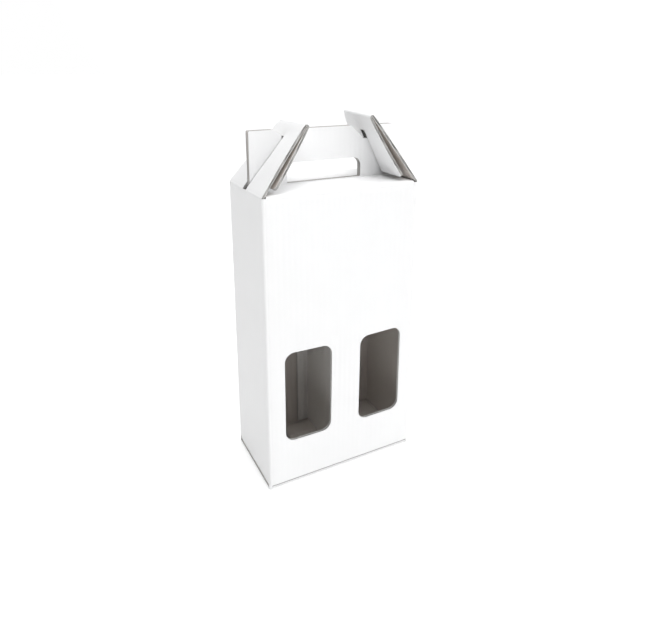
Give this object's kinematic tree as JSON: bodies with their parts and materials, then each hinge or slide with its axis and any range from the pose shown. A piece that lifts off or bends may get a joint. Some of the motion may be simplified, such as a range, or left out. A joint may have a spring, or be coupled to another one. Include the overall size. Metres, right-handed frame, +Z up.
{
  "type": "bottle shipping box",
  "caption": "Upright white corrugated carrying box for bottles, with windows, a double handle and side lock flaps folded over its ends.",
  "frame": {"origin": "middle of the box's bottom, on the surface it stands on", "axes": "+X to the right seen from the windows, +Y to the back, +Z up"},
  "size_m": [0.186, 0.1, 0.4058],
  "materials": {
    "white_board": "matt white coated liner, grey-white corrugated cut edges",
    "divider_board": "uncoated white corrugated board"
  },
  "bodies": {
    "carton": {"carton": "white_board", "bottle_divider": "divider_board"},
    "left_lock_flap": {"left_lock_flap": "white_board"},
    "right_lock_flap": {"right_lock_flap": "white_board"}
  },
  "joints": [
    {"name": "left_lock_fold", "type": "hinge", "parent": "carton", "child": "left_lock_flap", "pos_m": [-0.0915, 0, 0.3325], "axis": [0, -1, 0], "range_deg": [0, 130]},
    {"name": "right_lock_fold", "type": "hinge", "parent": "carton", "child": "right_lock_flap", "pos_m": [0.0915, 0, 0.3325], "axis": [0, 1, 0], "range_deg": [0, 124]}
  ]
}
